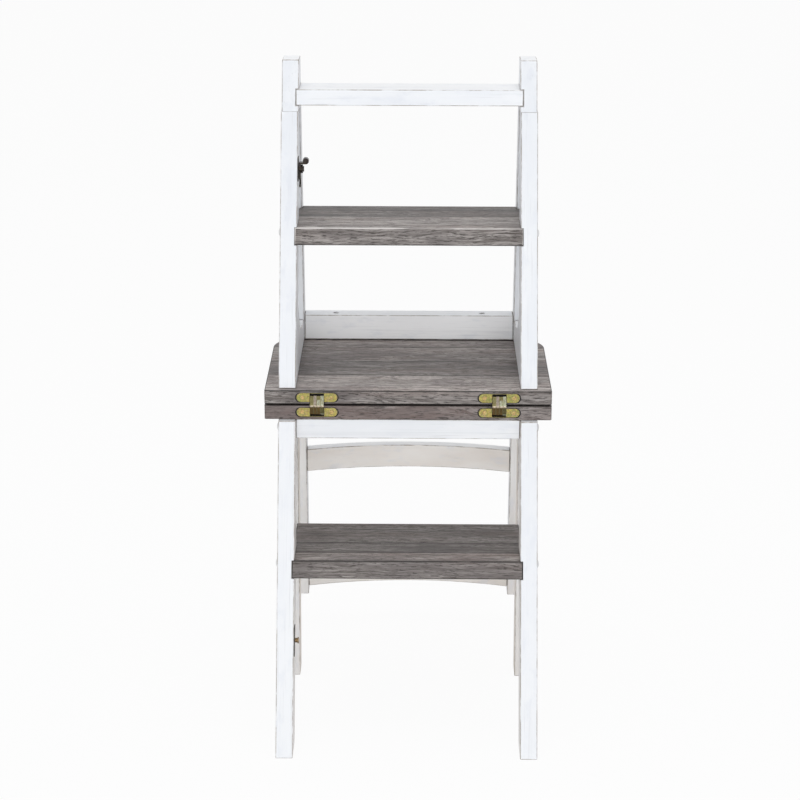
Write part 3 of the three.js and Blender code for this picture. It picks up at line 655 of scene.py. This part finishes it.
def lathe(bm, profile, to_world):
    """Turns a profile of radius and height, in millimetres, with closed ends."""
    rings = []
    for radius, height in profile:
        if radius:
            rings.append(ring(bm, radius, height, to_world))
        else:
            rings.append([bm.verts.new(to_world @ (Vector((0.0, 0.0, height)) * MM))])
    for low, high in zip(rings, rings[1:]):
        for k in range(TURN_SEGMENTS):
            n = (k + 1) % TURN_SEGMENTS
            if len(low) == 1:
                bm.faces.new((low[0], high[n], high[k]))
            elif len(high) == 1:
                bm.faces.new((low[k], low[n], high[0]))
            else:
                bm.faces.new((low[k], low[n], high[n], high[k]))


def cross_head(bm, radius, slot, width, depth, to_world):
    """The face of a screw with a cross slot; the rest of the screw is a lathe that starts at its rim."""
    rim = ring(bm, radius, 0.0, to_world)
    arm = ((slot / 2, -width / 2), (slot / 2, width / 2), (width / 2, width / 2))
    corners = []
    for k in range(4):
        turn = Matrix.Rotation(k * math.pi / 2, 3, "Z")
        corners += [turn @ Vector((x, y, 0.0)) for x, y in arm]
    top = [bm.verts.new(to_world @ (corner * MM)) for corner in corners]
    low = [Vector((corner.x * SLOT_FLOOR_SHARE, corner.y * SLOT_FLOOR_SHARE, -depth)) for corner in corners]
    base = [bm.verts.new(to_world @ (corner * MM)) for corner in low]
    edges = []
    for loop in (rim, top):
        edges += [bm.edges.new((loop[k], loop[(k + 1) % len(loop)])) for k in range(len(loop))]
    bmesh.ops.triangle_fill(bm, edges=edges, use_beauty=True)
    for k in range(len(top)):
        n = (k + 1) % len(top)
        bm.faces.new((top[k], top[n], base[n], base[k]))
    bm.faces.new(base)


def outer_end(node, outward):
    """The matrix that puts +Z outward at a node's outer end, and the node's length in millimetres."""
    low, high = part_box(node)
    way = Vector(outward)
    length = abs((high - low).dot(way))
    turn = Vector(TO_TOP).rotation_difference(way).to_matrix().to_4x4()
    return Matrix.Translation((low + high) / 2 + way * length / 2) @ turn, length / MM


def settle_turned(node, bm, finish):
    """Joins the rings of a turned piece, turns its faces outwards and settles it."""
    bmesh.ops.remove_doubles(bm, verts=bm.verts, dist=FINE_WELD * MM)
    bmesh.ops.recalc_face_normals(bm, faces=bm.faces)
    settle(node, "_finished", bm, [finish])


def screw(node, finish, slot, outward, radius, shank, cross_length, cross_width):
    """A screw where its node is, whose head with a cross slot faces outward."""
    to_world, length = outer_end(node, outward)
    rim = radius * RIM_SHARE
    bm = bmesh.new()
    cross_head(bm, rim, cross_length, cross_width, radius * SLOT_DEPTH_SHARE, to_world)
    lathe(bm, [
        (rim, 0.0),
        (radius, -radius * SHOULDER_SHARE),
        (radius, -radius * HEAD_SHARE),
        (shank, -radius * NECK_SHARE),
        (shank, -length),
        (0.0, -length),
    ], to_world)
    settle_turned(node, bm, finish)


def capped_bolt(node, outward):
    """A bolt where its node is, whose domed cap faces outward."""
    to_world, length = outer_end(node, outward)
    angles = [math.radians(degrees) for degrees in range(10, 90, 10)]
    dome = [(CAP_RADIUS * math.cos(angle), CAP_RISE * math.sin(angle) - CAP_RISE) for angle in angles]
    bm = bmesh.new()
    lathe(bm, [
        (0.0, -length),
        (BOLT_RADIUS, -length),
        (BOLT_RADIUS, -CAP_RISE),
        (CAP_RADIUS, -CAP_RISE),
        *dome,
        (0.0, 0.0),
    ], to_world)
    settle_turned(node, bm, cap_enamel)


# Painted timber: which of its faces take painted warm shade

def inwards(face):
    """How straight a face looks inwards across the ladder."""
    return -face.normal.x * math.copysign(1.0, face.calc_center_median().x)


def warm_shade_off_tops(amount, top=0.05):
    """Painted warm shade on every face but the tops."""
    return lambda face: top if face.normal.z > FLAT_SHARE else amount


def warm_shade_inside(amount, base):
    """More painted warm shade on the faces that look inwards, and a little on the rest."""
    return lambda face: amount if inwards(face) > FLAT_SHARE else base


def warm_shade_below(amount, inner):
    """Painted warm shade under the seat; above it, a little on the faces that look inwards."""
    def value(face):
        if face.calc_center_median().z < hinge_line.z:
            return amount
        return inner if inwards(face) > FLAT_SHARE else 0.0
    return value


# Painted pieces: the pairs with the way of their grain and their painted warm shade, the beams with the
# amount of painted warm shade and their painted light
ALONG_RAILS = (0.0, RAIL_RUN / RAIL_RISE, 1.0)
ALONG_LEGS = (0.0, 0.15, 1.0)
ALONG_POSTS = (0.0, -0.12, 1.0)
ALONG_APRONS = (0.0, 1.0, 0.0)
PAIR_PAINTED_LIGHT = (0.7, 0.0)
BEAM_PAINTED_LIGHT = (1.0, 0.0)
pairs = {
    "lower_rail": (ALONG_RAILS, warm_shade_inside(0.55, 0.04)),
    "upper_rail": (ALONG_RAILS, warm_shade_inside(0.10, 0.0)),
    "front_leg": (ALONG_LEGS, warm_shade_inside(0.95, 0.50)),
    "rear_post": (ALONG_POSTS, warm_shade_below(0.5, 0.12)),
    "lower_side_apron": (ALONG_APRONS, warm_shade_inside(0.30, 0.15)),
    "upper_side_apron": (ALONG_APRONS, warm_shade_inside(0.15, 0.10)),
}
beams = {
    "lower_cross_rail": (0.05, BEAM_PAINTED_LIGHT),
    "front_apron": (0.25, BEAM_PAINTED_LIGHT),
    "rear_apron": (0.04, (0.25, 1.0)),
    "top_rail": (0.0, (0.6, 0.0)),
    "back_slat_lower": (0.70, BEAM_PAINTED_LIGHT),
    "back_slat_crest": (0.70, BEAM_PAINTED_LIGHT),
}
painted_pieces = [
    (f"{pair}_{side}", along, warm, PAIR_PAINTED_LIGHT)
    for pair, (along, warm) in pairs.items() for side in ("left", "right")
]
painted_pieces += [(beam, TO_RIGHT, warm_shade_off_tops(amount), lift) for beam, (amount, lift) in beams.items()]
for number, piece in enumerate(painted_pieces, 1):
    painted(*piece, number)

# Treads
planked("upper_seat_board", 1, (74.0, 142.0, 214.0), (1.86, 1.12, 1.44, 1.30), near_tone=0.92, red=0.15)
planked("lower_seat_board", 2, (70.0, 128.0), (1.28, 1.30, 1.26), near_tone=1.00, red=0.75)
planked("upper_step", 3, (80.0, 118.0), (1.48, 0.74, 0.66), near_tone=0.92, red=0.10, highlight_share=1.0)
planked("lower_step", 4, (41.0, 79.0), (1.38, 0.84, 0.98), near_tone=0.94, red=0.20)


# Hinge links

def outer_reach(height, set_back):
    """Where the outer face of the links lies at a height; below 0 is in front of the hinge line."""
    share = max(0.0, (abs(height) - BEND_HALF) / (LINK_TIP - BEND_HALF))
    return -BEND_REACH + BEND_FALL * share + set_back


def inner_reach(height):
    """Where their inner face lies at a height."""
    return -INNER_TIP_REACH - INNER_RISE * (1.0 - abs(height) / LINK_TIP)


def link_plate(bm, x_low, x_high, low, high, set_back=0.0):
    """One plate of the pack between two heights, bent over the hinge line. Returns its faces."""
    outer = [low] + [height for height in (-BEND_HALF, BEND_HALF) if low < height < high] + [high]
    inner = [high, 0.0, low] if low < 0.0 < high else [high, low]
    outline = [(outer_reach(height, set_back), height) for height in outer]
    outline += [(inner_reach(height), height) for height in inner]
    left, right = (
        [bm.verts.new(hinge_line + Vector((x, y, z)) * MM) for y, z in outline] for x in (x_low, x_high))
    faces = [bm.faces.new(left), bm.faces.new(list(reversed(right)))]
    for k in range(len(left)):
        n = (k + 1) % len(left)
        faces.append(bm.faces.new((left[n], left[k], right[k], right[n])))
    return faces


LINK_FINISHES = ("link_nickel", "link_dark_lower", "link_greenish", "link_olive", "link_bend_highlight")


def link_finish(height, plate, near):
    """The finish of a face of a link pack: bright above the bend, with a painted highlight on the near face
    of the bend, darker below.
    """
    if near and abs(height) < BEND_HALF - MARK_SLACK:
        return "link_bend_highlight"
    if plate == 3 and height < STUB_TOP + MARK_SLACK:
        return "link_greenish"
    if height < DARK_LOWER_TOP:
        return "link_olive" if plate == 3 else "link_dark_lower"
    if plate == 0:
        return "link_olive"
    return "link_greenish" if plate >= 2 else "link_nickel"


def links(side, centre):
    """Four link plates with ends at their own heights and a stub under the last one, round a core."""
    bm = bmesh.new()
    start = centre - LINK_PACK / 2
    end = centre + LINK_PACK / 2
    width = LINK_PACK / len(LINK_ENDS)
    for k, (low, high) in enumerate(LINK_ENDS):
        x_low = start + k * width
        gap_before = LINK_GAP / 2 if k else 0.0
        gap_after = LINK_GAP / 2 if k < len(LINK_ENDS) - 1 else 0.0
        link_plate(bm, x_low + gap_before, x_low + width - gap_after, low, high)
    link_plate(bm, end - width + LINK_GAP / 2, end, -LINK_TIP, STUB_TOP, STUB_SET_BACK)
    bmesh.ops.recalc_face_normals(bm, faces=bm.faces)
    round_edges(bm, LINK_ROUND)
    for face in bm.faces:
        place = (face.calc_center_median() - hinge_line) / MM
        finish = link_finish(place.z, int((place.x - start) / width), face.normal.y < -NEAR_SHARE)
        face.material_index = LINK_FINISHES.index(finish)
    core = link_plate(bm, start + CORE_INSET, end - CORE_INSET, *CORE_ENDS, CORE_SET_BACK)
    bmesh.ops.recalc_face_normals(bm, faces=core)
    for face in core:
        face.material_index = LINK_FINISHES.index("link_olive")
    settle(f"hinge_links_{side}", "_finished", bm, [metals[name] for name in LINK_FINISHES])


# Hinges: leaves, their screws and the links between them
for unit in ("lower", "upper"):
    for side in ("left", "right"):
        dressed(f"{unit}_hinge_leaf_{side}", metals["yellow_zinc"], LEAF_ROUND)
        for k in (1, 2):
            node = f"{unit}_leaf_screw_{side}_{k}"
            screw(node, metals["screw_zinc"], "hinge_brass", TO_NEAR, *LEAF_SCREW)
links("left", -HINGE_OFFSET)
links("right", HINGE_OFFSET)

# Bolts through the rails, and screws in the aprons
for bolt in ("lower_step_bolt", "cross_rail_bolt", "upper_step_bolt"):
    capped_bolt(bolt + "_left", TO_LEFT)
    capped_bolt(bolt + "_right", TO_RIGHT)
for side in ("left", "right"):
    screw(f"rear_apron_screw_{side}", bronze, "dark_bronze", TO_TOP, *APRON_SCREW)
    screw(f"front_apron_screw_{side}", bronze, "dark_bronze", TO_BASE, *APRON_SCREW)

# Latch on the inside of the left rails
for plate in ("hook", "strike"):
    dressed(plate + "_plate", bronze, PLATE_ROUND)
    for k in (1, 2):
        screw(f"{plate}_screw_{k}", bronze, "dark_bronze", TO_RIGHT, *PLATE_SCREW)
dressed("latch_lever", bronze, LEVER_ROUND)
dressed("latch_pivot", bronze, PIVOT_ROUND)
dressed("strike_stud", metals["worn_copper"], STUD_ROUND)


# Studio
WORLD_LIGHT = rgb(0.50, 0.505, 0.51)
BACKDROP = rgb(0.995, 0.995, 0.995)
FLOOR_DULL = rgb(0.86, 0.86, 0.86)
FLOOR_PALE = rgb(0.88, 0.88, 0.88)


def stage_floor():
    mesh = bpy.data.meshes.new("studio_floor")
    corners = [(x * FLOOR_HALF, y * FLOOR_HALF, 0.0) for x, y in ((-1, -1), (1, -1), (1, 1), (-1, 1))]
    mesh.from_pydata(corners, [], [(0, 1, 2, 3)])
    floor = bpy.data.objects.new("studio_floor", mesh)
    bpy.context.scene.collection.objects.link(floor)
    made, g = material("studio_floor")
    mesh.materials.append(made)
    speck = g.noise(g.node("TexCoord").outputs["Object"], 3.0, 2.0)
    matte = g.node("BsdfDiffuse", {"Color": g.mix(speck, FLOOR_DULL, FLOOR_PALE)}).outputs[0]
    glow = g.node("Emission", {"Color": BACKDROP, "Strength": 1.0}).outputs[0]
    share = g.times(g.seen_rays(), FLOOR_GLOW_SHARE)
    both = g.node("MixShader", {0: share, 1: matte, 2: glow}).outputs[0]
    g.node("OutputMaterial", {"Surface": both})


def make_world():
    world = bpy.data.worlds.new("studio")
    bpy.context.scene.world = world
    world.use_nodes = True
    g = Graph(world.node_tree)
    colour = g.mix(g.seen_rays(), WORLD_LIGHT, BACKDROP)
    back = g.node("Background", {"Color": colour, "Strength": 1.0}).outputs[0]
    g.node("OutputWorld", {"Surface": back})


def lamp(name, place, aim, size, power):
    data = bpy.data.lights.new(name, "AREA")
    data.shape = "RECTANGLE"
    data.size, data.size_y = size
    data.energy = power
    obj = bpy.data.objects.new(name, data)
    obj.location = place
    obj.rotation_euler = (Vector(aim) - Vector(place)).to_track_quat("-Z", "Y").to_euler()
    bpy.context.scene.collection.objects.link(obj)


def make_camera():
    data = bpy.data.cameras.new("photo_camera")
    data.sensor_width = SENSOR_WIDTH
    data.lens = CAMERA_LENS
    data.clip_end = CAMERA_REACH * MM
    obj = bpy.data.objects.new("photo_camera", data)
    heading = Matrix.Rotation(math.radians(CAMERA_HEADING), 4, "Z")
    place = heading @ Vector(CAMERA_PLACE) + Vector((0.0, hinge_line.y / MM, 0.0))
    pitch = Matrix.Rotation(math.radians(90.0 - CAMERA_PITCH), 4, "X")
    roll = Matrix.Rotation(math.radians(CAMERA_ROLL), 4, "Z")
    obj.matrix_world = Matrix.Translation(place * MM) @ heading @ pitch @ roll
    bpy.context.scene.collection.objects.link(obj)
    bpy.context.scene.camera = obj


stage_floor()
make_world()
for name, settings in LAMPS.items():
    lamp(name, *settings)
make_camera()
bpy.context.scene.view_settings.view_transform = "Standard"
